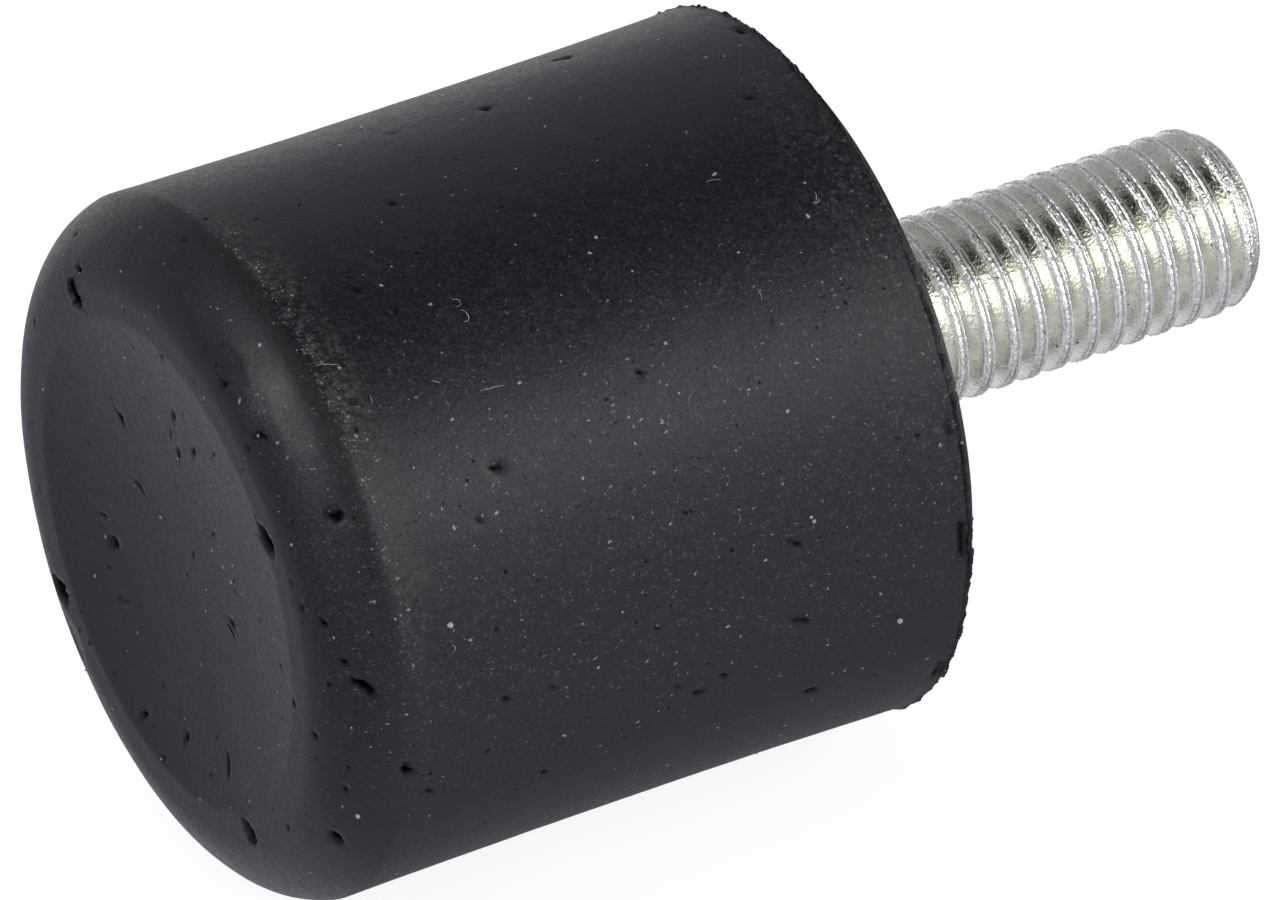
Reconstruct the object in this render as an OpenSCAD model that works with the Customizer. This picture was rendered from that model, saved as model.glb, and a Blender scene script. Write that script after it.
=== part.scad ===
// Threaded rubber buffer: a moulded rubber stop bonded to a steel disc, with a
// male stud that screws it to the machine or frame it protects.
// The mounting face lies at z = 0. The stud points up and the head hangs below.
// Every piece is turned about the Z axis from its own half section.

/* [Rubber body] */
// Diameter at the nose and at the back edge, where the side is widest
body_d = 30.1; // [29.5:0.1:31]
// Height from the mounting face to the front rim
body_h = 29.7; // [25:0.1:45]
// How far the side draws in at half height, as moulded rubber does when it cools
waist_depth = 0.14; // [0.05:0.01:0.4]
// Radius of the rounded nose
nose_r = 3.6; // [3:0.1:4]
// Angle between the nose and the side at the mould's parting line
parting_angle = 14; // [2:1:20]

/* [Front dish] */
// Diameter of the inner edge of the front rim
rim_d = 21.4; // [16:0.1:21.4]
// Depth of the dish at its middle
dish_depth = 1; // [0.5:0.1:2]
// Radius that softens the rim's inner edge
rim_edge_r = 2; // [1:0.1:3]

/* [Back edge] */
// Height of the collar of rubber that holds the plate, above the body's shoulder
collar_h = 0.75; // [0.5:0.05:1]
// Wall of the collar round the plate
collar_wall = 0.6; // [0.4:0.1:0.7]
// Width of the ring of flash left on the shoulder by the mould
flash_w = 0.35; // [0.2:0.05:0.5]
// How far the flash stands proud of the side and of the shoulder
flash_out = 0.2; // [0.1:0.05:0.3]

/* [Base plate] */
// Diameter of the steel disc
plate_d = 26.5; // [24:0.5:27]
// Thickness of the steel disc
plate_t = 2; // [1.5:0.5:3]
// Rolled edge that blanking leaves on the bonded side
plate_edge_r = 0.5; // [0.2:0.1:0.8]

/* [Stud] */
// Major diameter of the coarse metric thread
stud_d = 8; // [6:2:10]
// Length from the mounting face to the tip
stud_l = 20; // [12:1:40]
// Length of the tapered lead at the tip
lead_l = 1.4; // [1:0.1:2]
// How far the flat end's edge lies inside the thread's major diameter
tip_drop = 0.9; // [0.7:0.05:1.2]
// Bevel between the lead and the flat end
tip_bevel = 0.35; // [0.1:0.05:0.4]
// Width of the shoulder pressed into the plate
shoulder_w = 0.5; // [0.4:0.1:0.8]
// Diameter of the flat head behind the plate
head_d = 14; // [12:0.5:18]
// Thickness of the flat head
head_t = 2.5; // [2:0.5:4]
// Rounding of the head's outer edge
head_edge_r = 0.8; // [0.4:0.1:1]

/* [Hidden] */
$fn = 180;

// Steps along each arc of a half section
fine_steps = 24;
edge_steps = 8;

body_r = body_d / 2;
rim_r = rim_d / 2;
plate_r = plate_d / 2;
stud_r = stud_d / 2;
tip_r = stud_r - tip_drop;
shoulder_r = stud_r + shoulder_w;
head_r = head_d / 2;

// The nose is an arc that touches the front plane and stops short of tangent at the side
nose_centre = [body_r - nose_r * cos(parting_angle), nose_r - body_h];
parting_z = nose_centre[1] - nose_r * sin(parting_angle);

// The shoulder carries the flash, and the collar rises from it to the mounting face
shoulder_z = -collar_h;
collar_r = plate_r + collar_wall;
flash_base_z = shoulder_z - flash_out;

// The waist is a long arc between the parting line and the flash
waist_chord = flash_base_z - parting_z;
waist_r = (waist_chord * waist_chord / 4 + waist_depth * waist_depth) / (2 * waist_depth);
waist_centre = [body_r - waist_depth + waist_r, (flash_base_z + parting_z) / 2];
waist_half_angle = asin(waist_chord / 2 / waist_r);

// The dish is a spherical hollow that runs tangent into the rounded edge of the rim
rim_centre = [rim_r, rim_edge_r - body_h];
dish_r = (rim_r * rim_r + dish_depth * dish_depth) / (2 * dish_depth) - rim_edge_r;
dish_centre = [0, dish_depth - body_h - dish_r];
dish_half_angle = asin(rim_r / (dish_r + rim_edge_r));

// Points along an arc, both ends included
function arc_points(centre, r, from, to, steps) = [
    for (i = [0:steps])
        let (a = from + (to - from) * i / steps)
            centre + r * [cos(a), sin(a)]
];

// Outside of the plate, from its outer face down the edge and in along the bonded side
function plate_outline() = concat(
    [[plate_r, 0]],
    arc_points([plate_r - plate_edge_r, plate_edge_r - plate_t], plate_edge_r, 0, -90, edge_steps)
);

// Outside of the embedded head, from the bonded side of the plate down to the axis
function head_outline() = concat(
    [[head_r, -plate_t]],
    arc_points(
        [head_r - head_edge_r, head_edge_r - plate_t - head_t],
        head_edge_r, 0, -90, edge_steps
    ),
    [[0, -plate_t - head_t]]
);

// Front of the rubber, from the middle of the dish over the rim and round the nose
function front_outline() = concat(
    arc_points(dish_centre, dish_r, 90, 90 - dish_half_angle, fine_steps),
    arc_points(rim_centre, rim_edge_r, 270 - dish_half_angle, 270, edge_steps),
    arc_points(nose_centre, nose_r, -90, -parting_angle, fine_steps)
);

// Side of the rubber, from the parting line up to the flash
function side_outline() = arc_points(
    waist_centre, waist_r, 180 + waist_half_angle, 180 - waist_half_angle, fine_steps
);

// Flash, shoulder and collar, up to the mounting face
function back_outline() = [
    [body_r + flash_out, shoulder_z],
    [body_r, shoulder_z + flash_out],
    [body_r - flash_w, shoulder_z + flash_out],
    [body_r - flash_w, shoulder_z],
    [collar_r, shoulder_z],
    [collar_r, 0]
];

// One moulding: dished front, rounded nose, drawn-in side, and a pocket that
// the plate and the stud's head fill completely
module rubber_body() {
    color("#26262b")
    rotate_extrude()
    polygon(concat(
        front_outline(),
        side_outline(),
        back_outline(),
        plate_outline(),
        head_outline()
    ));
}

// Blanked steel disc, bonded into the back of the rubber with its outer face bare
module base_plate() {
    color("#c9c9bd")
    rotate_extrude()
    polygon(concat(
        [[shoulder_r, -plate_t], [shoulder_r, 0]],
        plate_outline()
    ));
}

// Stud with its head, pressed through the plate from the rubber's side.
// The shank is drawn at the thread's major diameter.
module threaded_stud() {
    color("#d6d8c4")
    rotate_extrude()
    polygon(concat(
        [
            [0, stud_l],
            [tip_r, stud_l],
            [tip_r + tip_bevel, stud_l - tip_bevel],
            [stud_r, stud_l - lead_l],
            [stud_r, 0],
            [shoulder_r, 0],
            [shoulder_r, -plate_t]
        ],
        head_outline()
    ));
}

rubber_body();
base_plate();
threaded_stud();
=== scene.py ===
import bpy
import bmesh
import math
import random
import numpy as np
from mathutils import Matrix, Quaternion, Vector, noise


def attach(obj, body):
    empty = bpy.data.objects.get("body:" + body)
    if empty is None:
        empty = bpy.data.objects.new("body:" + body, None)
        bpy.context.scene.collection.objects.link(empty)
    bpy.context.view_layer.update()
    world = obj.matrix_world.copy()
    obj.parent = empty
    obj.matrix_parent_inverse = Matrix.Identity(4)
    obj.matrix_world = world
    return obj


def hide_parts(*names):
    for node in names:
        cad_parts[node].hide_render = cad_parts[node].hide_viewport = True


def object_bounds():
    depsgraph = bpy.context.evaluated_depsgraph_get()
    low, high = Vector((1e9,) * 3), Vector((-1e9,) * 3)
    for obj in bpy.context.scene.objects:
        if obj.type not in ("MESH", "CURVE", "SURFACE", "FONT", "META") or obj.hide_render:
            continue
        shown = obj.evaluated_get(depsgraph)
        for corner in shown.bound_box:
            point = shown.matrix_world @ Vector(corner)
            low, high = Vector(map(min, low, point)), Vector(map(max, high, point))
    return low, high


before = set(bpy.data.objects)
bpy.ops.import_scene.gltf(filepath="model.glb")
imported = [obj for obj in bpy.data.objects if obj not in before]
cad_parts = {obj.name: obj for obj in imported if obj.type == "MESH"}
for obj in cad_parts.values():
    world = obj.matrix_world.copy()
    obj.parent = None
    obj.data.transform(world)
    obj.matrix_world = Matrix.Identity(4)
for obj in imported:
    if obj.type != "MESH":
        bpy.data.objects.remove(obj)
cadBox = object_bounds()
mm = 0.001
print("frame loaded:", sorted(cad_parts))


def smooth(low, high, value):
    t = np.clip((value - low) / (high - low), 0.0, 1.0)
    return t * t * (3.0 - 2.0 * t)


def arcPoints(centre, radius, fromDeg, toDeg, steps):
    angles = np.radians(np.linspace(fromDeg, toDeg, steps + 1))
    return [(centre[0] + radius * math.cos(a), centre[1] + radius * math.sin(a)) for a in angles]


def linePoints(start, end, steps):
    return [(start[0] + (end[0] - start[0]) * i / steps, start[1] + (end[1] - start[1]) * i / steps)
            for i in range(1, steps + 1)]


def noiseAt(points, scale, offset):
    # smooth noise at every point, about -1 to 1, with points in mm
    shift = Vector(offset)
    return np.array([noise.noise(Vector(p) * scale + shift) for p in points])


def noiseRound(azimuths, radius, scale, offset):
    # noise that closes on itself round the axis
    ring = np.stack([radius * np.cos(azimuths), radius * np.sin(azimuths), np.zeros(len(azimuths))], 1)
    return noiseAt(ring, scale, offset)


def degreesApart(first, second):
    return (first - second + 180.0) % 360.0 - 180.0


def linkObject(name, data):
    made = bpy.data.objects.new(name, data)
    bpy.context.scene.collection.objects.link(made)
    return made


def turnTo(thing, rotation):
    thing.rotation_mode = "QUATERNION"
    thing.rotation_quaternion = rotation


def linkPiece(name, mesh):
    mesh.shade_smooth()
    return linkObject(name, mesh)


def meshFrom(name, vertices, faces):
    mesh = bpy.data.meshes.new(name)
    mesh.from_pydata([tuple(v) for v in np.asarray(vertices, float) * mm], [], faces)
    mesh.validate()
    return linkPiece(name, mesh)


def pieceFrom(name, built):
    mesh = bpy.data.meshes.new(name)
    built.to_mesh(mesh)
    built.free()
    return linkPiece(name, mesh)


def addFace(built, *corners):
    # rows that meet share a corner, so a square may be a triangle there
    corners = list(dict.fromkeys(corners))
    if len(corners) > 2:
        built.faces.new(corners)


def reportSize(piece):
    piece.data.calc_loop_triangles()
    print(piece.name, "has", len(piece.data.loop_triangles), "triangles")


camera = {
    "lens": 618.0,           # mm, a long lens from well back
    "distance": 0.9006,      # m to the mounting face's level
    "elevation": -23.48,     # looks up at the shoulder of the body, stud pointing away
    "roll": 108.58,          # the stud's axis lies across the picture, tip to the right
    "aimRight": -6.67,       # mm from the middle of the mounting face to the picture's centre
    "aimUp": -3.99,
}


def buildCamera(c):
    e, roll = math.radians(c["elevation"]), math.radians(c["roll"])
    forward = Vector((0, math.cos(e), -math.sin(e)))
    levelRight, levelUp = Vector((1, 0, 0)), Vector((0, math.sin(e), math.cos(e)))
    right = levelRight * -math.cos(roll) + levelUp * math.sin(roll)
    up = levelRight * -math.sin(roll) - levelUp * math.cos(roll)
    aim = right * c["aimRight"] * mm + up * c["aimUp"] * mm
    data = bpy.data.cameras.new("mainCamera")
    data.lens = c["lens"]
    data.sensor_width = 36
    data.clip_start, data.clip_end = 0.05, 10
    rig = linkObject("mainCamera", data)
    rig.location = aim - forward * c["distance"]
    turnTo(rig, Matrix((right, up, -forward)).transposed().to_quaternion())
    bpy.context.scene.camera = rig
    print("camera placed")


buildCamera(camera)


def newGroup(name, inputs, outputs):
    # the position goes in as a vector, and every other input is a plain number
    group = bpy.data.node_groups.new(name, "ShaderNodeTree")
    group.interface.new_socket("Position", in_out="INPUT", socket_type="NodeSocketVector")
    for label, value in inputs.items():
        socket = group.interface.new_socket(label, in_out="INPUT", socket_type="NodeSocketFloat")
        socket.default_value = value
    for label in outputs:
        kind = "NodeSocketVector" if label == "Position" else "NodeSocketFloat"
        group.interface.new_socket(label, in_out="OUTPUT", socket_type=kind)
    return group, group.nodes.new("NodeGroupInput").outputs, group.nodes.new("NodeGroupOutput").inputs


def put(tree, kind, values=None, **settings):
    node = tree.nodes.new(kind)
    for key, value in settings.items():
        setattr(node, key, value)
    for key, value in (values or {}).items():
        node.inputs[key].default_value = value
    return node


def wire(tree, fromSocket, toSocket):
    tree.links.new(fromSocket, toSocket)


def feed(tree, value, socket):
    # a socket takes a number, a colour or what another node puts out
    if isinstance(value, bpy.types.NodeSocket):
        wire(tree, value, socket)
    elif socket.type == "RGBA":
        socket.default_value = (*value, 1.0)
    else:
        socket.default_value = value


def ramp(tree, source, low, high, toLow=0.0, toHigh=1.0):
    node = put(tree, "ShaderNodeMapRange", {1: low, 2: high, 3: toLow, 4: toHigh},
               interpolation_type="SMOOTHSTEP")
    wire(tree, source, node.inputs[0])
    return node.outputs[0]


def calc(tree, operation, *values):
    node = put(tree, "ShaderNodeMath", operation=operation)
    for socket, value in zip(node.inputs, values):
        feed(tree, value, socket)
    return node.outputs[0]


def times(tree, first, *others):
    for other in others:
        first = calc(tree, "MULTIPLY", first, other)
    return first


def timesPlus(tree, value, factor, added):
    return calc(tree, "MULTIPLY_ADD", value, factor, added)


def largest(tree, first, *others):
    for other in others:
        first = calc(tree, "MAXIMUM", first, other)
    return first


def vectorCalc(tree, operation, first, second=None):
    node = put(tree, "ShaderNodeVectorMath", operation=operation)
    feed(tree, first, node.inputs[0])
    if second is not None:
        feed(tree, second, node.inputs["Scale" if operation == "SCALE" else 1])
    isNumber = operation in ("DOT_PRODUCT", "LENGTH", "DISTANCE")
    return node.outputs["Value" if isNumber else "Vector"]


def splitVector(tree, vector):
    node = put(tree, "ShaderNodeSeparateXYZ")
    wire(tree, vector, node.inputs[0])
    return node.outputs


def blend(tree, share, first, second):
    node = put(tree, "ShaderNodeMix", data_type="RGBA")
    wire(tree, share, node.inputs["Factor"])
    feed(tree, first, node.inputs["A"])
    feed(tree, second, node.inputs["B"])
    return node.outputs["Result"]


def noiseTexture(tree, position, scale, detail, roughness=0.5, output=0):
    node = put(tree, "ShaderNodeTexNoise", {"Detail": detail, "Roughness": roughness})
    wire(tree, position, node.inputs["Vector"])
    feed(tree, scale, node.inputs["Scale"])
    return node.outputs[output]


def ruffleGroup():
    # bends the coordinates a little, so that dots and bands come out irregular
    group, given, result = newGroup("ruffle", {"Scale": 7.0, "Amount": 0.10}, ["Position"])
    wander = noiseTexture(group, given["Position"], given["Scale"], 1.0, output="Color")
    centred = vectorCalc(group, "SUBTRACT", wander, (0.5, 0.5, 0.5))
    shift = vectorCalc(group, "SCALE", centred, given["Amount"])
    wire(group, vectorCalc(group, "ADD", given["Position"], shift), result["Position"])
    return group


def specksGroup():
    # scattered specks of many sizes: a share of the cells holds pale grains, another share dark pores
    group, given, result = newGroup(
        "specks", {"Density": 1.5, "Radius": 0.08, "Length": 1.5, "Grains": 0.5, "Pores": 0.2},
        ["Grains", "Pores"])
    cells = put(group, "ShaderNodeTexVoronoi", feature="F1")
    wire(group, given["Position"], cells.inputs["Vector"])
    wire(group, given["Density"], cells.inputs["Scale"])
    dice = put(group, "ShaderNodeSeparateColor")
    wire(group, cells.outputs["Color"], dice.inputs[0])
    # each speck is an ellipsoid turned its own way
    offset = vectorCalc(group, "SUBTRACT", given["Position"], cells.outputs["Position"])
    angles = vectorCalc(group, "MULTIPLY", cells.outputs["Color"], (6.28, 31.4, 15.7))
    turned = put(group, "ShaderNodeVectorRotate", rotation_type="EULER_XYZ")
    wire(group, offset, turned.inputs["Vector"])
    wire(group, angles, turned.inputs["Rotation"])
    long, wide, deep = splitVector(group, turned.outputs[0])
    squeezed = put(group, "ShaderNodeCombineXYZ")
    for part, socket in zip((calc(group, "DIVIDE", long, given["Length"]), wide, deep), squeezed.inputs):
        wire(group, part, socket)
    reach = vectorCalc(group, "LENGTH", squeezed.outputs[0])
    size = timesPlus(group, calc(group, "POWER", dice.outputs[1], 2.0), 0.6, 0.4)
    share = calc(group, "DIVIDE", reach, times(group, given["Radius"], size))
    bright = timesPlus(group, dice.outputs[2], 0.7, 0.3)
    isGrain = calc(group, "LESS_THAN", dice.outputs[0], given["Grains"])
    isPore = calc(group, "GREATER_THAN", dice.outputs[0], calc(group, "SUBTRACT", 1.0, given["Pores"]))
    wire(group, times(group, ramp(group, share, 1.0, 0.4), bright, isGrain), result["Grains"])
    wire(group, times(group, ramp(group, share, 1.5, 0.9), isPore), result["Pores"])
    return group


def grainGroup():
    # fine relief for bump, and soft patches for colour and roughness
    group, given, result = newGroup(
        "surfaceGrain", {"Grain": 10.0, "Patches": 0.6, "Mottle": 3.0}, ["Height", "Patch", "Mottle"])
    for scaleName, detail, rough, outName in (("Grain", 2.0, 0.6, "Height"), ("Patches", 3.0, 0.6, "Patch"),
                                              ("Mottle", 3.0, 0.7, "Mottle")):
        cloudy = noiseTexture(group, given["Position"], given[scaleName], detail, rough)
        wire(group, cloudy, result[outName])
    return group


ruffle = ruffleGroup()
specks = specksGroup()
surfaceGrain = grainGroup()


def newMaterial(name):
    material = bpy.data.materials.new(name)
    material.use_nodes = True
    tree = material.node_tree
    return material, tree, tree.nodes["Principled BSDF"]


def positionInMm(tree, stretch=(1, 1, 1)):
    place = put(tree, "ShaderNodeTexCoord")
    scaled = put(tree, "ShaderNodeMapping", {"Scale": tuple(1000 * s for s in stretch)})
    wire(tree, place.outputs["Object"], scaled.inputs["Vector"])
    return scaled.outputs[0]


def useGroup(tree, group, position, **values):
    node = put(tree, "ShaderNodeGroup", values, node_tree=group)
    wire(tree, position, node.inputs["Position"])
    return node.outputs


def attributeValue(tree, name):
    return put(tree, "ShaderNodeAttribute", attribute_name=name).outputs["Fac"]


def dress(tree, shader, colour, dull, height, strength, distance):
    # every finish has its own colour, roughness and relief
    bump = put(tree, "ShaderNodeBump", {"Strength": strength, "Distance": distance})
    wire(tree, height, bump.inputs["Height"])
    for value, name in ((bump.outputs[0], "Normal"), (colour, "Base Color"), (dull, "Roughness")):
        wire(tree, value, shader.inputs[name])


rubberLook = {
    "black": (0.0064, 0.0054, 0.0088),
    "cool": (0.0042, 0.0054, 0.0086),
    "haze": (0.045, 0.041, 0.032),       # olive dust film by the parting line
    "scuff": (0.056, 0.054, 0.058),      # short pale strokes all over
    "grain": (0.46, 0.45, 0.44),
    "crumb": (0.20, 0.190, 0.165),
    # near-black for painted shade in pits, pores and the crease of the parting line
    "paintedShade": (0.0010, 0.0010, 0.0013),
    "roughness": 0.43,
    "pitRoughness": 0.9,
    "shine": 0.37,                       # rubber reflects a little less than plain plastic
    "creaseZ": -27.25, "crumbZ": -26.5,  # mm, the painted shade line of the crease and the crumbs behind it
    "hazeStart": (-27.0, -26.5),         # mm, the dust film comes in over this stretch
    "hazeEnd": (-24.2, -26.2),           # fades out over this one
    "edgeZ": (-5.5, -1.2),               # and comes back towards the back edge
    "dustySide": (-0.36, -0.93, 0.0),    # direction of the side that gathered most dust
    "dustyReach": (8.0, 14.0),           # mm along that direction, from clean to dusty
    "scuffHighlightSide": (0.26, -0.966, 0.0),     # and of the side where scuffs and specks are painted brighter: real wear, plus painted highlight where the right softbox's highlight falls
    "scuffHighlightReach": (10.5, 14.3),
    "sheenSmudge": (-5.0, -13.0, -28.5),      # middle of a pale patch on the nose, dust plus a painted highlight, mm
    "sheenSmudgeReach": (2.3, 1.2),
}


def rubberMaterial(look):
    material, tree, shader = newMaterial("blackRubber")
    position = positionInMm(tree)
    bent = useGroup(tree, ruffle, position, Scale=8.0, Amount=0.10)["Position"]
    grain = useGroup(tree, surfaceGrain, position, Grain=6.5, Patches=0.42, Mottle=2.6)
    large = useGroup(tree, specks, bent, Density=1.5, Radius=0.10, Length=1.8, Grains=0.40, Pores=0.14)
    small = useGroup(tree, specks, bent, Density=3.3, Radius=0.055, Length=3.6, Grains=0.80, Pores=0.10)
    crumbs = useGroup(tree, specks, bent, Density=5.0, Radius=0.11, Length=1.4, Grains=0.60)
    paintedShade = attributeValue(tree, "pitShade")
    patch, mottle, fine = grain["Patch"], grain["Mottle"], grain["Height"]
    # how near a point is to the parting line, to the dusty side and to the worn side, where scuffs are
    # painted brighter as a highlight
    z = splitVector(tree, position)[2]
    offLine = calc(tree, "ABSOLUTE", calc(tree, "SUBTRACT", z, look["crumbZ"]))
    offCrease = calc(tree, "ABSOLUTE", calc(tree, "SUBTRACT", z, look["creaseZ"]))
    dusty = ramp(tree, vectorCalc(tree, "DOT_PRODUCT", position, look["dustySide"]), *look["dustyReach"])
    wornAndLit = ramp(tree, vectorCalc(tree, "DOT_PRODUCT", position, look["scuffHighlightSide"]), *look["scuffHighlightReach"], 0.20)
    byEdge = times(tree, ramp(tree, z, *look["edgeZ"]), dusty)
    toSheenSmudge = vectorCalc(tree, "DISTANCE", position, look["sheenSmudge"])
    sheenSmudge = ramp(tree, timesPlus(tree, mottle, 1.4, toSheenSmudge), *look["sheenSmudgeReach"])
    # colour of the rubber itself
    ground = blend(tree, ramp(tree, patch, 0.42, 0.60), look["black"], look["cool"])
    ground = blend(tree, ramp(tree, fine, 0.50, 0.70, 0.0, 0.05), ground, look["haze"])
    # dust film, in clouds
    behind = times(tree, ramp(tree, z, *look["hazeStart"]), ramp(tree, z, *look["hazeEnd"]))
    film = times(tree, behind, timesPlus(tree, dusty, 0.9, 0.1))
    film = largest(tree, film, times(tree, byEdge, 0.4), 0.05)
    cloud = ramp(tree, timesPlus(tree, mottle, 0.7, times(tree, patch, 0.3)), 0.40, 0.62)
    film = times(tree, film, cloud, ramp(tree, fine, 0.36, 0.62, 0.35))
    ground = blend(tree, film, ground, look["haze"])
    # the pale patch on the nose: dust, plus a painted highlight
    sheenSmear = times(tree, sheenSmudge, ramp(tree, fine, 0.40, 0.58, 0.12, 0.60))
    ground = blend(tree, sheenSmear, ground, look["scuff"])
    # painted shade: a dark line along the crease at the parting line, on the dusty side
    creaseShade = times(tree, ramp(tree, offCrease, 0.5, 0.15), dusty, ramp(tree, mottle, 0.32, 0.52, 0.35))
    ground = blend(tree, times(tree, creaseShade, 0.85), ground, look["paintedShade"])
    # short strokes of wear: thin level lines of a noise, broken up by the mottle, painted brighter towards
    # the highlight band (painted highlight)
    strokes = noiseTexture(tree, bent, 5.0, 1.0)
    thin = ramp(tree, calc(tree, "ABSOLUTE", calc(tree, "SUBTRACT", strokes, 0.5)), 0.045, 0.006)
    scuffsAndSheen = times(tree, thin, ramp(tree, fine, 0.44, 0.58), wornAndLit, ramp(tree, mottle, 0.40, 0.60, 0.2))
    ground = blend(tree, scuffsAndSheen, ground, look["scuff"])
    # painted shade: pore dots and the pitShade mask (pit floors, and a share on the flash) turn near-black
    pores = largest(tree, times(tree, large["Pores"], 0.7), times(tree, small["Pores"], 0.5), paintedShade)
    ground = blend(tree, pores, ground, look["paintedShade"])
    # grains and crumbs, crowded along the parting line and the back edge of the dusty side
    line = times(tree, ramp(tree, offLine, 0.65, 0.20), timesPlus(tree, dusty, 0.85, 0.10))
    line = largest(tree, line, times(tree, byEdge, 0.35), times(tree, sheenSmudge, 0.7))
    heaped = times(tree, crumbs["Grains"], line, ramp(tree, mottle, 0.38, 0.56))
    ground = blend(tree, heaped, ground, look["crumb"])
    # fine pale specks of dust, painted brighter towards the highlight band (painted highlight)
    faintDustGlints = times(tree, small["Grains"], ramp(tree, mottle, 0.40, 0.60, 0.06, 0.62), wornAndLit)
    dustAndGlints = largest(tree, times(tree, large["Grains"], 0.75), faintDustGlints)
    dustAndGlints = times(tree, dustAndGlints, calc(tree, "SUBTRACT", 1.0, paintedShade))
    ground = blend(tree, dustAndGlints, ground, look["grain"])
    # finely matt: the sheen breaks up from one spot to the next
    dull = timesPlus(tree, fine, 0.42, look["roughness"] - 0.21)
    dull = timesPlus(tree, mottle, 0.16, calc(tree, "SUBTRACT", dull, 0.08))
    dull = timesPlus(tree, creaseShade, 0.12, dull)
    dull = timesPlus(tree, largest(tree, dustAndGlints, film), 0.25, dull)
    dull = largest(tree, dull, times(tree, pores, look["pitRoughness"]))
    shader.inputs["Specular IOR Level"].default_value = look["shine"]
    # painted shade: metallic on the near-black pits and pores dims their reflection too, as light that enters
    # a pit does not come out again
    wire(tree, times(tree, pores, 0.95), shader.inputs["Metallic"])
    height = timesPlus(tree, fine, 0.5, times(tree, mottle, 0.9))
    dress(tree, shader, ground, dull, height, 0.42, 0.00005)
    return material


zincLook = {
    "bright": (0.815, 0.820, 0.715),
    "dull": (0.72, 0.727, 0.63),
    "lip": (0.92, 0.92, 0.90),
    "root": (0.50, 0.48, 0.40),          # darker and warmer at the bottom of the groove
    "creaseShade": (0.34, 0.33, 0.30),        # painted shade in the seam between the lips
    "stain": (0.10, 0.09, 0.07),
    "plate": (0.56, 0.565, 0.50),        # the disc's plating is duller than the stud's
    "plateDull": (0.45, 0.455, 0.40),
    "rubberFilm": (0.02, 0.02, 0.024),
    "roughness": 0.09,
    "tipZ": (18.3, 19.2),                # mm, where the rounded end begins
    "filmRadius": (13.55, 13.75),        # mm, where rubber begins to cover the plate
}


def zincStudMaterial(look):
    material, tree, shader = newMaterial("zincThread")
    position = positionInMm(tree)
    drawn = positionInMm(tree, (0.35, 0.35, 9.0))
    bent = useGroup(tree, ruffle, position, Scale=9.0, Amount=0.10)["Position"]
    grain = useGroup(tree, surfaceGrain, position, Grain=7.0, Patches=1.1, Mottle=3.5)
    spots = useGroup(tree, specks, bent, Density=1.5, Radius=0.06, Length=1.5, Pores=0.45)["Pores"]
    flecks = useGroup(tree, specks, bent, Density=5.0, Radius=0.09, Length=1.6, Pores=0.4)["Pores"]
    lines = noiseTexture(tree, drawn, 1.6, 2.0, 0.6)
    mottle = grain["Mottle"]
    # the lips are flaked: pale and matt in places, bare between
    crest = times(tree, attributeValue(tree, "crest"), ramp(tree, mottle, 0.40, 0.54, 0.2))
    warm = times(tree, attributeValue(tree, "root"), ramp(tree, mottle, 0.35, 0.65, 0.15, 0.8))
    # painted shade in the seam between the lips and at the foot of the near lip
    seam = times(tree, attributeValue(tree, "creaseShade"), ramp(tree, mottle, 0.35, 0.6, 0.3))
    # little dents in the plating, thickest at the rounded end, painted dark with the seam's colour (painted
    # shade)
    tip = ramp(tree, splitVector(tree, position)[2], *look["tipZ"])
    pocked = times(tree, flecks, timesPlus(tree, tip, 0.35, 0.25))
    tint = blend(tree, ramp(tree, grain["Patch"], 0.38, 0.66), look["bright"], look["dull"])
    for share, colour in ((warm, "root"), (crest, "lip"), (seam, "creaseShade"), (pocked, "creaseShade"),
                          (spots, "stain")):
        tint = blend(tree, share, tint, look[colour])
    shader.inputs["Metallic"].default_value = 1.0
    dull = timesPlus(tree, mottle, 0.12, look["roughness"] - 0.06)
    dull = timesPlus(tree, crest, 0.22, timesPlus(tree, spots, 0.4, dull))
    flaky = largest(tree, timesPlus(tree, crest, 0.8, 0.9), times(tree, tip, 4.0))
    height = times(tree, calc(tree, "SUBTRACT", grain["Height"], times(tree, flecks, 0.3)), flaky)
    height = timesPlus(tree, mottle, 0.9, timesPlus(tree, lines, 0.35, height))
    dress(tree, shader, tint, dull, height, 0.50, 0.00004)
    return material


def zincPlateMaterial(look):
    # flat disc: dull zinc, faint rings from the blanking, rubber film creeping in from the edge
    material, tree, shader = newMaterial("zincPlate")
    position = positionInMm(tree)
    grain = useGroup(tree, surfaceGrain, position, Grain=6.0, Patches=0.35, Mottle=2.1)
    bent = useGroup(tree, ruffle, position, Scale=5.0, Amount=0.2)["Position"]
    spots = useGroup(tree, specks, bent, Density=0.9, Radius=0.13, Length=1.3, Pores=0.35)["Pores"]
    reach = vectorCalc(tree, "LENGTH", vectorCalc(tree, "MULTIPLY", position, (1, 1, 0)))
    film = ramp(tree, timesPlus(tree, grain["Mottle"], 1.5, reach), *look["filmRadius"])
    tint = blend(tree, ramp(tree, grain["Patch"], 0.35, 0.65), look["plate"], look["plateDull"])
    tint = blend(tree, spots, tint, look["stain"])
    tint = blend(tree, film, tint, look["rubberFilm"])
    wire(tree, calc(tree, "SUBTRACT", 1.0, film), shader.inputs["Metallic"])
    dull = timesPlus(tree, grain["Mottle"], 0.25, 0.36)
    rings = put(tree, "ShaderNodeTexNoise", {"Scale": 9.0, "Detail": 3.0}, noise_dimensions="1D")
    wire(tree, reach, rings.inputs["W"])
    height = timesPlus(tree, rings.outputs[0], 0.4, timesPlus(tree, film, 0.8, grain["Height"]))
    dress(tree, shader, tint, dull, height, 0.4, 0.00003)
    return material


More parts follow.
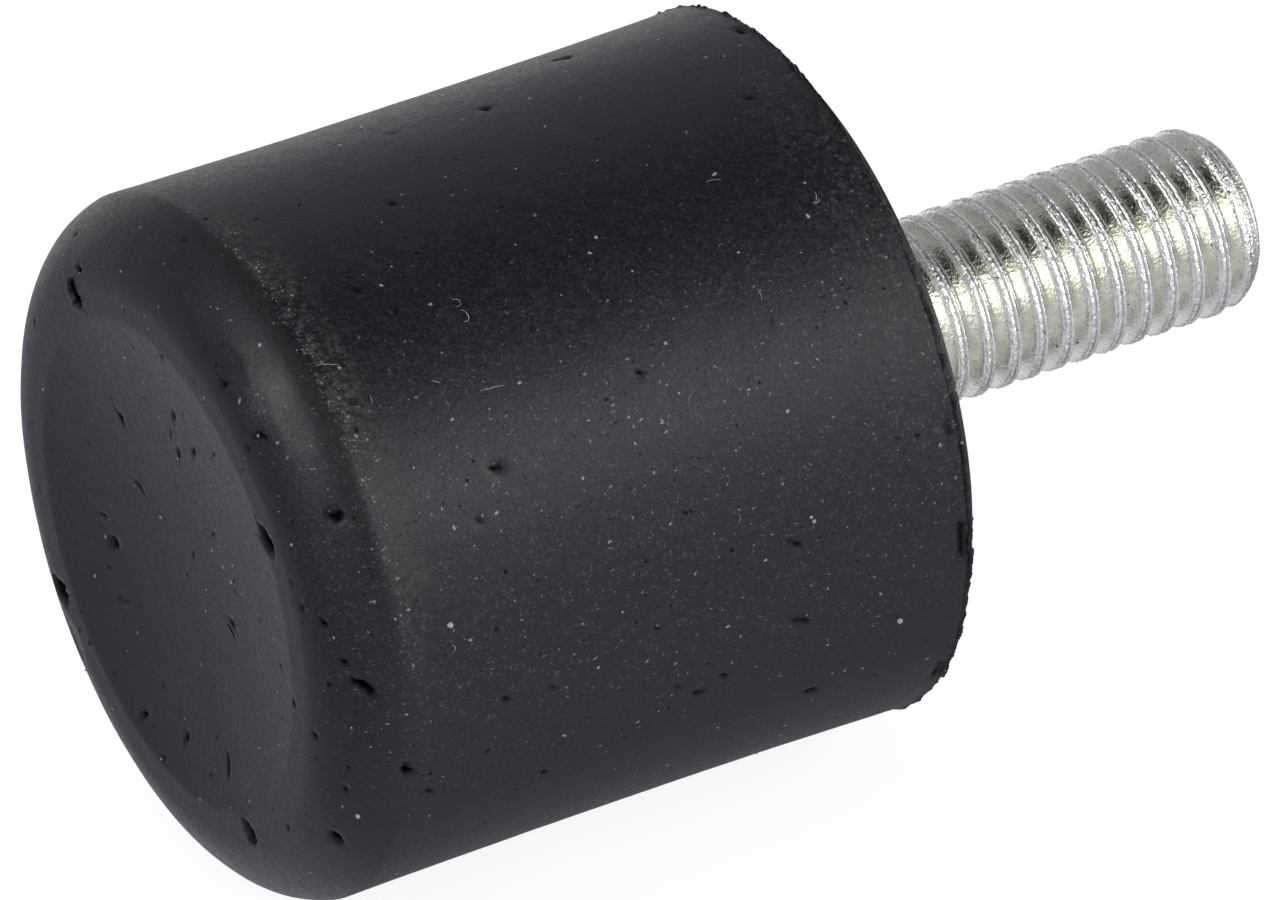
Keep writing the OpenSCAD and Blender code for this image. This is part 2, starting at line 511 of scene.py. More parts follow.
def lintMaterial():
    material, tree, shader = newMaterial("paleLint")
    grain = useGroup(tree, surfaceGrain, positionInMm(tree), Grain=18.0, Patches=1.2, Mottle=7.0)
    tint = blend(tree, ramp(tree, grain["Patch"], 0.4, 0.6), (0.40, 0.39, 0.36), (0.20, 0.20, 0.20))
    dull = timesPlus(tree, grain["Mottle"], 0.3, 0.55)
    dress(tree, shader, tint, dull, grain["Height"], 0.3, 0.00001)
    return material


blackRubber = rubberMaterial(rubberLook)
zincThread = zincStudMaterial(zincLook)
zincPlate = zincPlateMaterial(zincLook)
paleLint = lintMaterial()
print("materials made")


body = {
    "radius": 15.05, "height": 29.7,
    "waist": 0.14,                  # how far the side draws in
    "noseRadius": 3.6, "partingAngle": 14.0,
    "rimRadius": 10.7, "dishDepth": 1.0, "rimEdge": 2.0,
    "collarHeight": 0.75, "collarRadius": 13.85,
    "plateRadius": 13.25, "plateThickness": 2.0,
    "headRadius": 7.0, "headThickness": 2.5,
    "around": 368,
    "seam": 130.0,                  # azimuth where the grid closes, clear of every pit
    "unevenness": 0.022,            # mm, slow waves of the moulded surface
    # small pits scattered by chance: how many, from and to along the section in mm, and the seed
    "pores": [(80, 2.5, 13.0, 5), (90, 13.0, 41.0, 8)],
    # each pit's azimuth in degrees, distance from the middle of the dish along the section in mm,
    # length, width and depth in mm, and the turn of its long side from the axis' direction
    "pits": [
        (179.5, 11.7, 1.45, 0.95, 0.20, -26), (-176.0, 12.6, 0.60, 0.32, 0.14, 100),
        (107.0, 6.5, 1.60, 0.28, 0.22, 77), (92.0, 11.8, 1.55, 0.95, 0.26, 62),
        (-88.0, 10.85, 1.55, 1.00, 0.30, 65), (3.0, 11.4, 1.40, 0.75, 0.24, 150),
        (-89.0, 15.2, 0.95, 0.60, 0.22, 20), (-60.0, 14.8, 1.50, 0.58, 0.30, 35),
        (-43.5, 16.5, 0.95, 0.55, 0.24, 60), (-25.0, 14.1, 0.80, 0.50, 0.22, 30),
        (-88.0, 22.4, 1.00, 0.40, 0.20, 30), (-154.5, 30.7, 0.62, 0.55, 0.12, 60),
        (-38.5, 30.0, 1.00, 0.28, 0.09, 15), (-61.0, 34.6, 0.70, 0.30, 0.09, 15),
        (-46.5, 34.7, 1.00, 0.26, 0.08, 15), (-118.5, 12.9, 0.55, 0.38, 0.18, 60),
        (-106.5, 13.3, 0.85, 0.34, 0.15, 35), (-142.0, 7.2, 0.42, 0.34, 0.15, 0),
        (-133.5, 8.1, 0.34, 0.28, 0.13, 0), (-142.0, 5.3, 0.50, 0.32, 0.15, 80),
        (-129.0, 6.3, 0.70, 0.30, 0.15, 70), (-116.0, 8.5, 0.42, 0.32, 0.14, 0),
        (9.0, 8.6, 0.60, 0.40, 0.17, 20), (55.0, 9.6, 0.55, 0.34, 0.16, 40),
        (84.5, 7.0, 0.80, 0.34, 0.15, 40), (-71.5, 13.4, 0.55, 0.32, 0.13, 20),
        (-46.0, 19.9, 0.70, 0.26, 0.13, 85), (-51.5, 21.0, 0.70, 0.24, 0.12, 45),
        (-28.5, 35.7, 0.72, 0.28, 0.13, 5), (-165.0, 35.8, 0.70, 0.50, 0.14, 30),
        # torn places along the back edge, where the flash pulled the skin away
        (-52.0, 42.05, 2.40, 0.30, 0.08, 90), (-21.0, 42.0, 2.20, 0.35, 0.10, 90),
        (-71.0, 42.2, 1.10, 0.24, 0.10, 90), (-95.0, 42.2, 0.70, 0.20, 0.08, 90),
        (-151.5, 42.0, 1.30, 0.34, 0.12, 90),
    ],
    # a flattened place on the rim, soft hollows of the nose, and a long scuff on the side
    "dents": [(82.0, 12.3, 2.6, 1.1, 0.09, 90), (-121.0, 13.6, 3.0, 1.2, 0.05, 80),
              (-104.0, 14.9, 2.4, 1.0, 0.03, 80), (-81.5, 25.2, 2.9, 0.30, 0.02, 90)],
}


def bodyOutline(b):
    radius, height, edge = b["radius"], b["height"], b["rimEdge"]
    dishRadius = (b["rimRadius"] ** 2 + b["dishDepth"] ** 2) / (2 * b["dishDepth"]) - edge
    dishCentre = (0, b["dishDepth"] - height - dishRadius)
    dishHalf = math.degrees(math.asin(b["rimRadius"] / (dishRadius + edge)))
    nose, lean = b["noseRadius"], math.radians(b["partingAngle"])
    noseCentre = (radius - nose * math.cos(lean), nose - height)
    partingZ = noseCentre[1] - nose * math.sin(lean)
    backZ = -b["collarHeight"] - 0.2
    chord = backZ - partingZ
    waistRadius = (chord ** 2 / 4 + b["waist"] ** 2) / (2 * b["waist"])
    waistHalf = math.degrees(math.asin(chord / 2 / waistRadius))
    waistCentre = (radius - b["waist"] + waistRadius, (backZ + partingZ) / 2)
    points = arcPoints(dishCentre, dishRadius, 90, 90 - dishHalf, 26)
    points += arcPoints((b["rimRadius"], edge - height), edge, 270 - dishHalf, 270, 5)[1:]
    points += linePoints(points[-1], (noseCentre[0], -height), 5)
    points += arcPoints(noseCentre, nose, -90, -b["partingAngle"], 30)[1:]
    points += arcPoints(waistCentre, waistRadius, 180 + waistHalf, 180 - waistHalf, 84)[1:]
    gap = 0.02      # mm, the metal parts sit just free of the rubber's mesh
    shoulderZ, collar = -b["collarHeight"], b["collarRadius"]
    plate, plateBack = b["plateRadius"] + gap, -b["plateThickness"]
    head, headBack = b["headRadius"] + gap, plateBack - b["headThickness"] - gap
    for corner, steps in (((radius - 0.01, shoulderZ - 0.06), 2), ((radius - 0.08, shoulderZ), 1),
                          ((collar + 0.08, shoulderZ), 4), ((collar, shoulderZ + 0.07), 1),
                          ((collar, -0.06), 3), ((collar - 0.06, 0), 1), ((plate, 0), 2),
                          ((plate, plateBack), 4), ((head, plateBack), 4), ((head, headBack), 2),
                          ((0.0, headBack), 4)):
        points += linePoints(points[-1], corner, steps)
    return np.array(points)


outline = bodyOutline(body)
alongs = np.concatenate([[0], np.cumsum(np.hypot(*np.diff(outline, axis=0).T))])
slope = np.gradient(outline, axis=0)
outwards = np.stack([slope[:, 1], -slope[:, 0]], 1) / np.hypot(*slope.T)[:, None]


def sectionAt(along):
    # radius, height and outward direction of the section, by the distance from the middle of the dish
    return [np.interp(along, alongs, values) for values in (*outline.T, *outwards.T)]


def scatterPores(count, nearest, furthest, seed):
    # the small pores that no one would place by hand
    dice = random.Random(seed)
    found = []
    while len(found) < count:
        azimuth, along = dice.uniform(-180, 180), dice.uniform(nearest, furthest)
        size, depth = 0.14 + 0.32 * dice.random() ** 2, dice.uniform(0.04, 0.11)
        if abs(azimuth - body["seam"]) > 6:
            found.append((azimuth, along, size, size * dice.uniform(0.5, 0.9), depth, dice.uniform(0, 180)))
    return found


def hollow(turn, along, radius, one):
    # how deep one pit is at each point, and a soft mask of its floor, which is painted as shade
    azimuth, centre, length, width, depth, tilt = one
    x = np.radians(degreesApart(np.degrees(turn), azimuth)) * radius
    y = along - centre
    t = math.radians(tilt)
    u, v = y * math.cos(t) + x * math.sin(t), x * math.cos(t) - y * math.sin(t)
    near = np.nonzero((np.abs(u) < length * 1.3) & (np.abs(v) < width * 1.8))[0]
    drop, floor = np.zeros(len(turn)), np.zeros(len(turn))
    if len(near) == 0:
        return drop, floor
    where = np.stack([u[near] * 5.0 / length, v[near] * 2.4 / width, np.full(len(near), azimuth)], 1)
    ragged = noiseAt(where, 0.8, (3.1, 7.7, centre)) + 0.5 * noiseAt(where, 2.1, (8.1, 2.7, centre))
    reach = np.hypot(u[near] / (length / 2), v[near] / (width / 2)) * (1.0 + 0.42 * ragged)
    bowl = 1.0 - smooth(0.50, 1.0, reach)
    lip = np.exp(-((reach - 1.14) / 0.15) ** 2)
    drop[near] = depth * (bowl - 0.08 * lip)
    floor[near] = 1.0 - smooth(0.62, 1.0, reach)
    return drop, floor


def bodyGrid(b):
    # rings of points from the middle of the dish round to the bottom of the pocket
    seam, rings, around = math.radians(b["seam"]), len(outline), b["around"]
    built = bmesh.new()
    turnLayer = built.verts.layers.float.new("turn")
    alongLayer = built.verts.layers.float.new("along")
    grid = []
    for i in range(rings):
        row = []
        for j in range(1 if i in (0, rings - 1) else around):
            a = seam + 2 * math.pi * j / around
            r, z = outline[i]
            vertex = built.verts.new((r * math.cos(a), r * math.sin(a), z))
            vertex[turnLayer], vertex[alongLayer] = a, alongs[i]
            row.append(vertex)
        grid.append(row * (around // len(row)))
    for inner, outer in zip(grid, grid[1:]):
        for j in range(around):
            k = (j + 1) % around
            addFace(built, inner[j], inner[k], outer[k], outer[j])
    return built, grid


def refineUnder(built, grid, one, b):
    # a finer grid under one pit
    azimuth, along, length, width, depth, tilt = one
    lean = abs(math.sin(math.radians(tilt)))
    reachRound = (length * lean + width * (1 - lean)) * 0.5 + 0.22
    reachAlong = (width * lean + length * (1 - lean)) * 0.5 + 0.22
    first, last = np.searchsorted(alongs, (along - reachAlong, along + reachAlong))
    middle = (math.radians(azimuth - b["seam"]) % (2 * math.pi)) / (2 * math.pi) * b["around"]
    half = reachRound / sectionAt(along)[0] / (2 * math.pi) * b["around"]
    chosen = set()
    for i in range(max(first - 1, 1), min(last + 1, len(grid) - 2)):
        for j in range(math.floor(middle - half), math.ceil(middle + half) + 1):
            if grid[i][j % b["around"]].is_valid:
                chosen.add(grid[i][j % b["around"]])
    edges = {e for v in chosen for e in v.link_edges if e.verts[0] in chosen and e.verts[1] in chosen}
    bmesh.ops.subdivide_edges(built, edges=list(edges), cuts=4 if length > 0.5 else 3, use_grid_fill=True)


def buildBody(b):
    built, grid = bodyGrid(b)
    marks = b["pits"] + [one for few in b["pores"] for one in scatterPores(*few)]
    for one in marks:
        refineUnder(built, grid, one, b)
    turn = np.array([v[built.verts.layers.float["turn"]] for v in built.verts])
    along = np.array([v[built.verts.layers.float["along"]] for v in built.verts])
    r, z, outR, outZ = sectionAt(along)
    lift = np.zeros(len(turn))
    shade = np.zeros(len(turn))
    for one in marks + b["dents"]:
        drop, floor = hollow(turn, along, r, one)
        lift -= drop
        # pit floors are painted as shade, darker the deeper the pit; dents get none
        if one not in b["dents"]:
            shade = np.maximum(shade, floor * min(1.0, one[4] / 0.09))
    points = np.stack([r * np.cos(turn), r * np.sin(turn), z], 1)
    outside = smooth(0.5, 2.0, along) * (1.0 - smooth(-1.6, -0.95, z) * (along > 20))
    waves = noiseAt(points, 0.22, (1.7, 0.4, 9.2)) + 0.4 * noiseAt(points, 0.75, (5.5, 2.1, 0.3))
    lift += outside * (waves - 0.6) * b["unevenness"]
    r, z = r + lift * outR, np.maximum(z + lift * outZ, -b["height"])
    places = np.stack([r * np.cos(turn), r * np.sin(turn), z], 1) * mm
    shadeLayer = built.verts.layers.float.new("pitShade")
    for vertex, place, dark in zip(built.verts, places, shade):
        vertex.co = place
        vertex[shadeLayer] = dark
    bmesh.ops.triangulate(built, faces=[f for f in built.faces if len(f.verts) > 4])
    bmesh.ops.recalc_face_normals(built, faces=built.faces)
    return pieceFrom("rubberBody", built)


flash = {
    "around": 1500,
    "proud": 0.185,      # mm, the most that it stands out of the side
    "film": 0.45,        # mm, the most that it runs over the plate
    "shade": 0.3,        # share of the pits' near-black colour and dimmed reflection that every flash piece gets
    # azimuth, and how much of the flash was left there when the rest was trimmed
    "left": [(-180, 0.10), (-160, 0.10), (-155, 0.95), (-151, 0.95), (-147, 0.25), (-137, 0.25), (-134, 0.80),
             (-131, 0.25), (-121, 0.25), (-118, 0.75), (-115, 0.25), (-100, 0.35), (-95, 0.60), (-80, 0.35),
             (-70, 0.55), (-60, 0.60), (-52, 0.95), (-45, 0.60), (-35, 0.45), (-22, 0.65), (-12, 0.35),
             (0, 0.30), (40, 0.55), (70, 0.25), (110, 0.60), (150, 0.30), (180, 0.20)],
}


def ringStrip(name, sections):
    # sections is an array [around, points, 3]; closes both ways into one thin ring
    around, count = sections.shape[:2]
    faces = []
    for j in range(around):
        k = (j + 1) % around
        for i in range(count):
            m = (i + 1) % count
            faces.append((j * count + i, k * count + i, k * count + m, j * count + m))
    return meshFrom(name, sections.reshape(-1, 3), faces)


def aroundAxis(section, azimuths):
    # section lists (radius, height) pairs, each one value or one for each azimuth
    full = np.ones(len(azimuths))
    return np.stack([np.stack([r * np.cos(azimuths), r * np.sin(azimuths), z * full], 1)
                     for r, z in section], 1)


def buildFlash(f, b):
    azimuths = np.linspace(-math.pi, math.pi, f["around"], endpoint=False)
    slow, teeth, fine, lumps, drift = (noiseRound(azimuths, b["radius"], scale, offset) for scale, offset in
                                       ((0.16, (0.3, 4.4, 1.0)), (2.2, (7.3, 1.4, 2.0)),
                                        (6.5, (2.3, 9.4, 5.0)), (0.8, (4.1, 2.6, 7.0)),
                                        (0.9, (1.1, 3.3, 8.0))))
    left = np.interp(np.degrees(azimuths), *zip(*f["left"]))
    # torn off in teeth: mostly all or nothing, more of them where more was left
    torn = np.clip(0.55 * left + 0.9 * lumps + 0.6 * teeth + 0.5 * fine, 0.02, 1.0)
    radius, level = b["radius"], -b["collarHeight"]
    proud = f["proud"] * torn
    sway = 0.07 * drift + 0.04 * teeth
    # a thin fin that stands square out of the side
    fin = ringStrip("flashFin", aroundAxis(
        [(radius - 0.10, level - 0.22), (radius + 0.010, level - 0.20 + sway - 0.04 * torn),
         (radius + proud * 0.7, level - 0.17 + sway), (radius + proud, level - 0.10 + sway),
         (radius + proud * 0.8, level - 0.04 + sway * 0.5), (radius - 0.12, level - 0.05)], azimuths))
    # a second fin stands on the shoulder
    rise = f["proud"] * np.clip(0.30 + 0.8 * teeth + 0.5 * fine - 0.5 * slow, 0.03, 1.0)
    base = radius - 0.30 + 0.06 * slow
    ridge = ringStrip("flashRidge", aroundAxis(
        [(base, level - 0.05), (base + 0.12, level + rise * 0.8), (base + 0.20, level + rise),
         (base + 0.30, level - 0.05)], azimuths))
    # thin film of rubber that ran over the edge of the plate
    inner = b["plateRadius"] - f["film"] * np.clip(0.45 + 0.9 * slow + 0.5 * teeth + 0.2 * fine, 0.06, 1.0)
    outer = b["collarRadius"] - 0.25
    film = ringStrip("flashFilm", aroundAxis(
        [(inner, 0.004), (inner + 0.06, 0.03), (outer, 0.02), (outer, -0.03),
         (inner + 0.03, 0.002)], azimuths))
    for piece in (fin, ridge, film):
        shade = piece.data.attributes.new("pitShade", "FLOAT", "POINT")
        shade.data.foreach_set("value", [f["shade"]] * len(shade.data))
    return [fin, ridge, film]


def joinInto(target, others):
    bpy.ops.object.select_all(action="DESELECT")
    for piece in others + [target]:
        piece.select_set(True)
    bpy.context.view_layer.objects.active = target
    bpy.ops.object.join()


rubberBody = buildBody(body)
joinInto(rubberBody, buildFlash(flash, body))
rubberBody.data.materials.clear()
rubberBody.data.materials.append(blackRubber)
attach(rubberBody, "root")
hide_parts("rubber_body")
reportSize(rubberBody)


stud = {
    "radius": 4.0, "length": 20.0, "pitch": 1.25,
    "phase": 0.51,                # share of a turn that sets where the thread starts
    "columns": 140,               # round the flanks; the torn lips have three times as many
    "shoulder": 4.5, "headEdge": 0.8,
    "endRadius": 3.04, "endDish": 0.18,
    "nick": 0.115, "flake": 0.090,    # mm, how deep the lips are torn, and how deep they are flaked
    "ending": (18.4, 19.0),       # mm, where the end turns rough
    "weld": 0.0005,               # mm, rows that meet at the faces are joined
    # one pitch of the rolled thread, from the middle of one crest to the next: distance along the axis
    # in mm, and how far the surface lies under the crest. The metal folds into a seam between two lips.
    "farLip": [(0.000, 0.115), (0.045, 0.030), (0.095, 0.004), (0.135, 0.024), (0.170, 0.100)],
    "groove": [(0.275, 0.300), (0.375, 0.500), (0.445, 0.620), (0.495, 0.660), (0.535, 0.655),
               (0.575, 0.610), (0.665, 0.475), (0.760, 0.330), (0.855, 0.188), (0.945, 0.056)],
    "nearLip": [(0.975, 0.070), (1.000, 0.035), (1.030, 0.004), (1.100, 0.000), (1.165, 0.028)],
}


def tipRadius(z, s):
    # the end is rounded over by the rolling, then cut flat
    back = s["length"] - z
    return np.interp(back, [0.0, 0.06, 0.16, 0.36, 0.70, 1.05, 1.40, 1.80],
                     [3.06, 3.17, 3.30, 3.50, 3.76, 3.92, 4.0, 4.2])


def stitch(built, lower, upper, blocks):
    # faces between two rows; a lip's row has three steps to each step of a groove's row
    low, high = (len(lower) - 1) // blocks, (len(upper) - 1) // blocks
    for j in range(blocks):
        a, b = lower[j * low:(j + 1) * low + 1], upper[j * high:(j + 1) * high + 1]
        if low == high:
            for k in range(low):
                addFace(built, a[k], a[k + 1], b[k + 1], b[k])
            continue
        if low > high:
            a, b = b, a
        addFace(built, a[0], b[1], b[0])
        addFace(built, a[0], a[1], b[2], b[1])
        addFace(built, a[1], b[3], b[2])


def buildStud(s):
    farLip, groove, nearLip = s["farLip"], s["groove"], s["nearLip"]
    form = np.array(farLip + groove + nearLip)
    isLip = [True] * len(farLip) + [False] * len(groove) + [True] * len(nearLip)
    perTurn, columns, pitch = len(form), s["columns"], s["pitch"]
    fine = columns * 3
    rowCount = perTurn * (math.ceil(s["length"] / pitch) + 2)
    azimuths = np.linspace(0, 2 * math.pi, fine, endpoint=False)
    rows = np.arange(rowCount)
    along, drop = form[rows % perTurn, 0], form[rows % perTurn, 1]
    lift = (azimuths / (2 * math.pi) + s["phase"] - 1.0) * pitch
    z = ((rows // perTurn - 1) * pitch + along)[:, None] + lift[None, :]
    # the lips are torn, read along the helix so that the tears run with the thread
    length = (rows[:, None] // perTurn + azimuths[None, :] / (2 * math.pi)) * 2 * math.pi * s["radius"]
    level = np.broadcast_to((rows % perTurn)[:, None] * 0.35, z.shape)
    helix = np.stack([length.ravel(), level.ravel(), np.zeros(z.size)], 1)
    coarse, sharp, flakes = (noiseAt(helix, scale, offset).reshape(z.shape) for scale, offset in
                             ((0.9, (0.2, 0.1, 3.0)), (3.4, (5.2, 1.1, 7.0)), (8.0, (2.2, 6.1, 1.0))))
    onCrest = (1.0 - smooth(0.03, 0.05, drop)) * np.where(along > 0.9, 1.0, 0.5)
    raised = (1.0 - smooth(0.03, 0.12, drop))[:, None] * np.where(along > 0.98, 1.0, 0.6)[:, None]
    nicks = s["nick"] * np.maximum(sharp, 0) + s["flake"] * np.maximum(flakes, 0)
    nicks += 0.005 + 0.02 * np.abs(coarse)
    radius = s["radius"] - drop[:, None] - raised * nicks - 0.008 * (coarse + 1.0) - 0.004 * sharp
    z = z + raised * (0.022 * coarse + 0.040 * sharp + 0.022 * flakes)
    rough = 0.026 * sharp + 0.022 * flakes - 0.03
    ending = smooth(*s["ending"], z) * (1 - smooth(s["length"] - 0.1, s["length"], z))
    radius = np.minimum(radius, tipRadius(z, s) + rough * ending)
    below, above = z <= 0.0, z >= s["length"]
    z = np.clip(z, 0.0, s["length"])
    radius = np.where(above, s["endRadius"], radius)
    # the rows under the face take the thread's own outline at that level
    for j in range(fine):
        first = np.argmin(below[:, j])
        radius[:first, j] = radius[first, j]
    radius = np.clip(radius, 2.9, s["radius"])
    built = bmesh.new()
    crestLayer = built.verts.layers.float.new("crest")
    rootLayer = built.verts.layers.float.new("root")
    creaseShadeLayer = built.verts.layers.float.new("creaseShade")
    onRoot = smooth(0.60, 0.65, drop)
    # painted shade in the seam, and a little at the foot of the near lip
    onCreaseShade = (rows % perTurn == 0) * 1.0 + (rows % perTurn == len(farLip) + len(groove)) * 0.7

    def ringOf(r, h):
        ring = [built.verts.new((r * math.cos(a) * mm, r * math.sin(a) * mm, h * mm)) for a in azimuths[::3]]
        return ring + ring[:1]

    back = -body["plateThickness"]
    headBack = back - body["headThickness"]
    head, edge, dish = body["headRadius"], s["headEdge"], s["endDish"]
    roundEdge = arcPoints((head - edge, headBack + edge), edge, -90, 0, 5)
    low = [(head * 0.5, headBack)] + roundEdge + [(head, back - 0.02), (s["shoulder"], back - 0.02),
                                                  (s["shoulder"], -0.05), (s["shoulder"] - 0.05, 0.0)]
    high = [(2.7, s["length"]), (2.2, s["length"] - dish * 0.4), (1.5, s["length"] - dish * 0.75),
            (0.8, s["length"] - dish * 0.95)]
    lowRings = [ringOf(r, h) for r, h in low]
    grid = []
    for i in range(rowCount):
        row = []
        for j in range(0, fine, 1 if isLip[i % perTurn] else 3):
            r, a = radius[i, j] * mm, azimuths[j]
            vertex = built.verts.new((r * math.cos(a), r * math.sin(a), z[i, j] * mm))
            vertex[crestLayer], vertex[rootLayer], vertex[creaseShadeLayer] = onCrest[i], onRoot[i], onCreaseShade[i]
            row.append(vertex)
        grid.append(row)
    highRings = [ringOf(r, h) for r, h in high]
    for centreZ, ring in ((headBack, lowRings[0]), (s["length"] - dish, highRings[-1])):
        middle = built.verts.new((0, 0, centreZ * mm))
        for first, second in zip(ring, ring[1:]):
            built.faces.new((middle, first, second))
    # each row of the thread runs on into the row one pitch further up
    turns = [grid[i] + [grid[min(i + perTurn, rowCount - 1)][0]] for i in range(rowCount)]
    for chain in (lowRings + [grid[0] + grid[0][:1]], turns, [grid[-1] + grid[-1][:1]] + highRings):
        for lower, upper in zip(chain, chain[1:]):
            stitch(built, lower, upper, columns)
    bmesh.ops.remove_doubles(built, verts=built.verts, dist=s["weld"] * mm)
    bmesh.ops.dissolve_degenerate(built, dist=s["weld"] * mm, edges=built.edges)
    bmesh.ops.recalc_face_normals(built, faces=built.faces)
    return pieceFrom("threadedStud", built)


threadedStud = buildStud(stud)
threadedStud.data.materials.append(zincThread)
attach(threadedStud, "root")
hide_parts("threaded_stud")
reportSize(threadedStud)


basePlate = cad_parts["base_plate"]
basePlate.data.materials.clear()
basePlate.data.materials.append(zincPlate)
print("base plate finished")


lint = {
    "fibreRadius": 0.016, "fibreSides": 5, "fibreSteps": 12,
    "looseGrains": 100,
    "heaps": 24,                 # of crumbs along the parting line of the dusty side
    "heapsAt": (-118, 16.85),    # their middle: azimuth, and distance along the section
    # azimuth, distance along the section, length and turn of each fibre, and how much it curls
    "fibres": [
        (-113.5, 23.6, 0.9, 20, 1.6), (-114.2, 23.5, 0.8, 40, -2.0), (-113.5, 40.0, 0.55, 60, 0.6),
        (-112.0, 39.7, 0.5, 100, -1.4), (-101.5, 35.8, 0.55, 65, 0.8), (-69.0, 32.2, 0.5, 25, 1.2),
        (-62.5, 18.7, 0.5, 30, -1.2), (-112.0, 16.8, 1.0, -15, 0.4), (-104.0, 21.1, 0.4, 5, 0.3),
        (-105.0, 18.4, 0.45, 110, 0.1), (-100.0, 22.9, 1.1, -18, 0.2), (-121.0, 36.0, 0.7, -20, 0.5),
    ],
    # azimuth, distance along the section and radius of the larger grains
    "grains": [(-67.0, 18.8, 0.13), (-39.6, 39.4, 0.12), (-33.0, 14.7, 0.10), (-63.8, 35.5, 0.10),
               (-64.6, 35.4, 0.08), (-70.0, 4.3, 0.08), (-106.5, 13.3, 0.07), (-118.0, 30.5, 0.07),
               (-98.0, 31.2, 0.08), (-90.0, 31.0, 0.06)],
}


def onBody(azimuth, along, out):
    r, z, outR, outZ = sectionAt(along)
    a = math.radians(azimuth)
    return Vector(((r + outR * out) * math.cos(a), (r + outR * out) * math.sin(a), z + outZ * out))


def insideBox(point):
    # nothing stands out past the moulding's own box
    limit = body["radius"] + flash["proud"]
    flat = math.hypot(point.x, point.y)
    shrink = min(1.0, limit / max(flat, 1e-6))
    return Vector((point.x * shrink, point.y * shrink, max(point.z, -body["height"])))


def buildLint(s):
    dice = random.Random(31)
    vertices, faces = [], []
    sides, steps = s["fibreSides"], s["fibreSteps"]
    degreesPerMm = math.degrees(1 / 15.0)      # round the side
    for azimuth, along, length, tilt, curl in s["fibres"]:
        heading = math.radians(tilt)
        x, y, path = 0.0, 0.0, []
        for i in range(steps + 1):
            lift = 0.012 + 0.02 * math.sin(i * 0.7) ** 2
            path.append(onBody(azimuth + x * degreesPerMm, along + y, lift))
            heading += curl * 2.4 / steps + dice.uniform(-0.25, 0.25)
            x += math.sin(heading) * length / steps
            y += math.cos(heading) * length / steps
        base = len(vertices)
        for i, p in enumerate(path):
            ahead = (path[min(i + 1, steps)] - path[max(i - 1, 0)]).normalized()
            sideways = ahead.cross(Vector((p.x, p.y, 0))).normalized()
            out = sideways.cross(ahead)
            taper = s["fibreRadius"] * (1.0 - 0.6 * abs(i / steps - 0.5) * 2) * dice.uniform(0.8, 1.2)
            for k in range(sides):
                t = 2 * math.pi * k / sides
                vertices.append(p + sideways * math.cos(t) * taper + out * math.sin(t) * taper)
        for i in range(steps):
            for k in range(sides):
                m = (k + 1) % sides
                faces.append((base + i * sides + k, base + i * sides + m,
                              base + (i + 1) * sides + m, base + (i + 1) * sides + k))
        faces.append(tuple(base + k for k in reversed(range(sides))))
        faces.append(tuple(base + steps * sides + k for k in range(sides)))
    return meshFrom("lintFibres", vertices, faces)


def buildGrains(s):
    dice = random.Random(12)
    loose = list(s["grains"])
    for i in range(s["looseGrains"]):
        loose.append((dice.uniform(-178, 178), dice.uniform(2, 41), 0.020 + 0.030 * dice.random() ** 2))
    # crumbs lie in heaps just behind the parting line
    for i in range(s["heaps"]):
        azimuth, along = dice.gauss(s["heapsAt"][0], 15), s["heapsAt"][1] + dice.gauss(0.0, 0.20)
        for k in range(dice.randint(1, 5)):
            loose.append((azimuth + dice.gauss(0.0, 0.9), along + dice.gauss(0.0, 0.12),
                          dice.uniform(0.012, 0.030)))
    built = bmesh.new()
    for azimuth, along, radius in loose:
        made = bmesh.ops.create_icosphere(built, subdivisions=2 if radius > 0.05 else 1, radius=radius)
        centre = onBody(azimuth, along, radius * 0.25)
        squash = dice.uniform(0.6, 1.0)
        for vertex in made["verts"]:
            bump = 1.0 + 0.3 * noise.noise(vertex.co * 14 + Vector((azimuth, along, 0)))
            point = Vector((vertex.co.x * bump, vertex.co.y * bump * squash, vertex.co.z * bump)) + centre
            vertex.co = insideBox(point) * mm
    return pieceFrom("dustGrains", built)


for made in (buildLint(lint), buildGrains(lint)):
    made.data.materials.append(paleLint)
    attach(made, "root")
    reportSize(made)


studio = {
    "roomLevel": 0.65,        # plain surroundings
    "roomSlope": (0.14, -0.10, 0.15),     # and how they brighten towards one side
    "roomTint": (0.885, 0.87, 1.0),
    "darkShare": 0.97,        # unlit ceiling above the camera
    "darkSide": (-0.696, -0.544, 0.469),
    "dimShare": 0.50,         # the far side of the room
    "dimSide": (0.545, 0.651, 0.528),
    "lowGlow": 0.38,          # the backdrop's lower edge lights the dish along its near rim
    "lowSide": (0.301, 0.952, -0.050),
    "backdropSide": (-0.460, 0.873, 0.160),
    "backdropLevel": 0.95,
    "floorGlow": 0.88,
    "lyingUp": (-0.7615, -0.6481, 0.0),   # up direction when the buffer lies on its side
    "lyingLevel": 15.06,      # mm from the axis to that surface
    # direction, width and height in m, turn in degrees, and brightness of the face where 1 is white
    "softboxes": {
        "softboxRight": ((0.093, -0.663, 0.743), 0.274, 0.687, -20.0, 2.95),
        "softboxLeft": ((-0.489, -0.456, -0.743), 0.315, 0.315, 0.0, 3.6),
    },
    "softboxDistance": 0.55,
}


